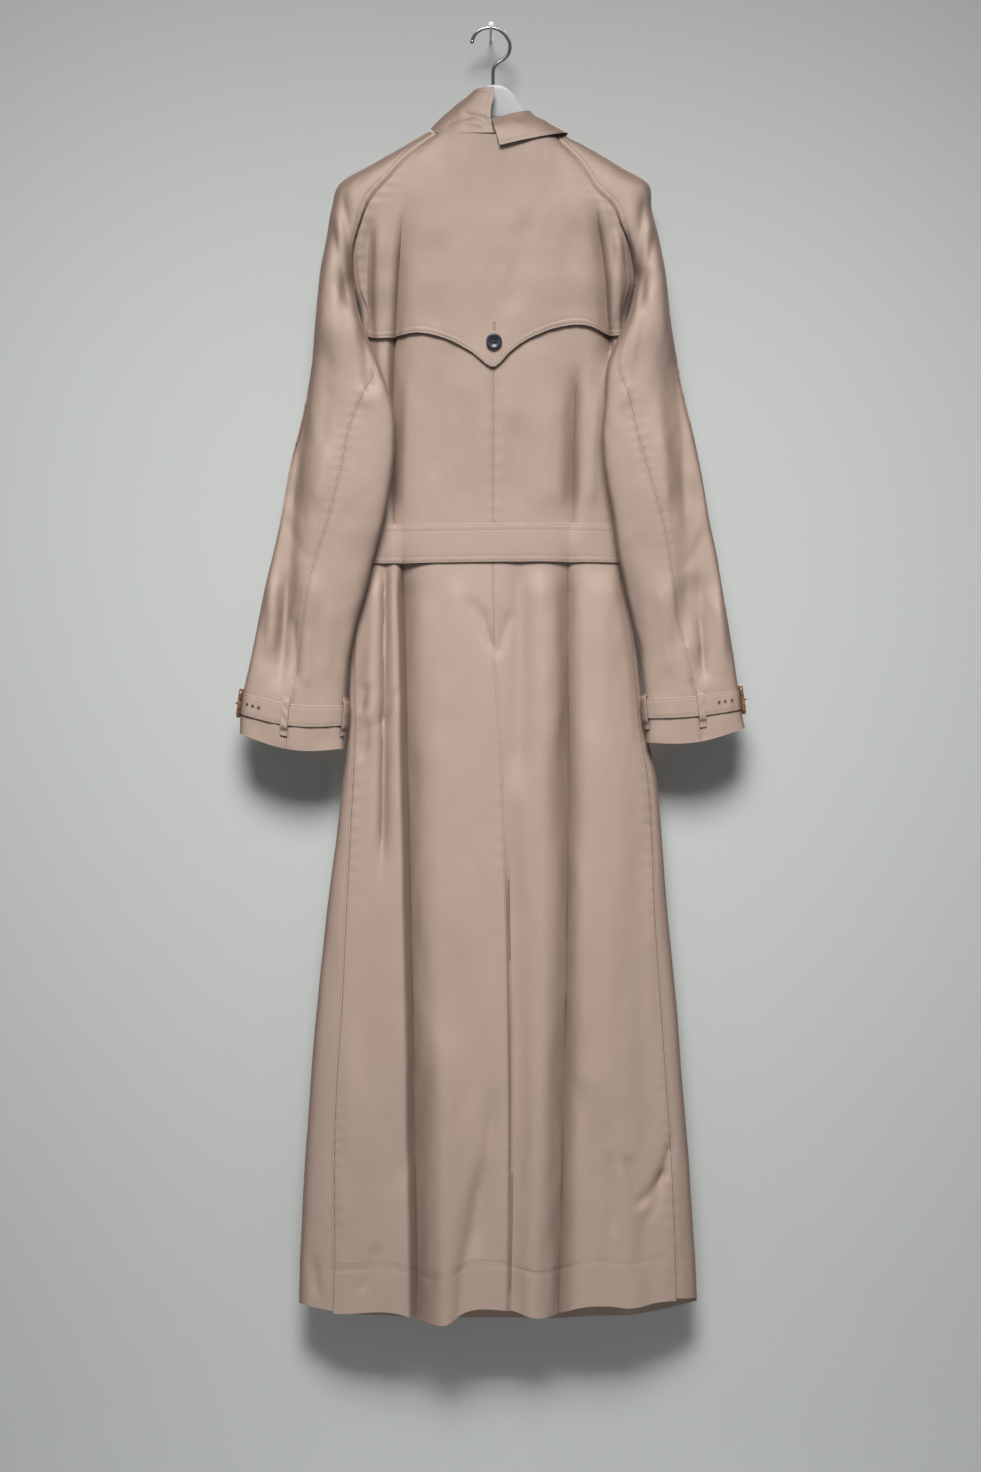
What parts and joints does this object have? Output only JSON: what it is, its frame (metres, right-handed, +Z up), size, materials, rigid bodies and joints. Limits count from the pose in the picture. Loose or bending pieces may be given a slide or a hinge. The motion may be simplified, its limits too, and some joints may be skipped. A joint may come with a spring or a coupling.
{
  "type": "trench coat on a hanger and wall nail",
  "caption": "Long belted raglan trench coat with a scalloped back yoke and a back vent, hanging on a hanger from a wall nail, its back to the viewer.",
  "frame": {"origin": "the point where the nail that carries the hanger's hook enters the wall", "axes": "+Z up; +Y into the wall, so the coat's back faces the viewer at -Y; +X to the viewer's right; the wall's face is the plane y = 0"},
  "size_m": [0.5805, 0.082, 1.4787],
  "materials": {
    "trench_cloth": "closely woven beige cotton with a soft sheen",
    "dark_button": "dark moulded buttons with a dull gloss",
    "tortoise": "brown tortoiseshell plastic",
    "steel": "plated hook wire",
    "hanger_plastic": "pale grey hanger",
    "nail_paint": "white-headed nail"
  },
  "bodies": {
    "root": {"back_left": "trench_cloth", "back_right": "trench_cloth", "back_yoke": "trench_cloth", "front_left": "trench_cloth", "front_right": "trench_cloth", "sleeve_left_back": "trench_cloth", "sleeve_left_front": "trench_cloth", "sleeve_right_back": "trench_cloth", "sleeve_right_front": "trench_cloth", "collar_left": "trench_cloth", "collar_right": "trench_cloth", "belt": "trench_cloth", "cuff_strap_left": "trench_cloth", "cuff_strap_right": "trench_cloth", "cuff_loop_left_back": "trench_cloth", "cuff_loop_left_inner": "trench_cloth", "cuff_loop_right_back": "trench_cloth", "cuff_loop_right_inner": "trench_cloth", "belt_buckle": "tortoise", "belt_prong": "tortoise", "cuff_buckle_left": "tortoise", "cuff_buckle_right": "tortoise", "cuff_prong_left": "tortoise", "cuff_prong_right": "tortoise", "yoke_button": "dark_button", "front_button_1": "dark_button", "front_button_2": "dark_button", "front_button_3": "dark_button", "front_button_4": "dark_button", "front_button_5": "dark_button", "front_button_6": "dark_button", "front_button_7": "dark_button", "front_button_8": "dark_button", "hanger_body": "hanger_plastic", "hanger_hook": "steel", "wall_nail": "nail_paint"}
  },
  "joints": []
}
